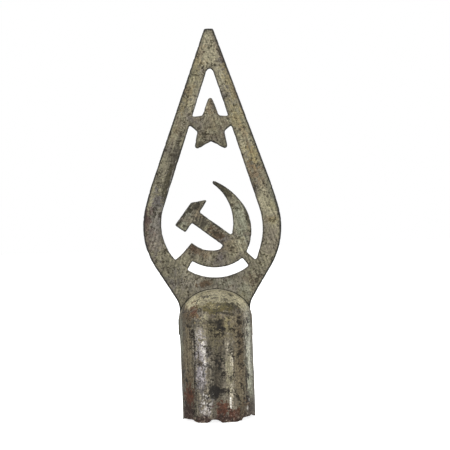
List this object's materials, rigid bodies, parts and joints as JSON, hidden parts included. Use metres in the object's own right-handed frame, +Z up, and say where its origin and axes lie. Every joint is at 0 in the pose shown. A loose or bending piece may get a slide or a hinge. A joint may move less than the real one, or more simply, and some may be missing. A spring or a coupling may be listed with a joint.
{
  "type": "flagpole finial",
  "caption": "Openwork spear-leaf flagpole finial with a star, a hammer and a sickle, on a domed tubular socket for a wooden staff.",
  "frame": {"origin": "centre of the socket's rim, at the level of its lowest points", "axes": "+Z up along the socket's axis, towards the leaf's tip; the leaf's sheet lies in the XZ plane, its front faces -Y and +X is to the right of that view"},
  "size_m": [0.0799, 0.0424, 0.225],
  "materials": {
    "dulled_plate": "sheet steel whose nickel plate has dulled to a mottled olive grey, with fine pits and rust",
    "worn_nickel": "drawn steel with worn shiny nickel plate, dark oxide patches and a rusted ragged rim"
  },
  "bodies": {
    "root": {"leaf": "dulled_plate", "socket": "worn_nickel"}
  },
  "joints": []
}
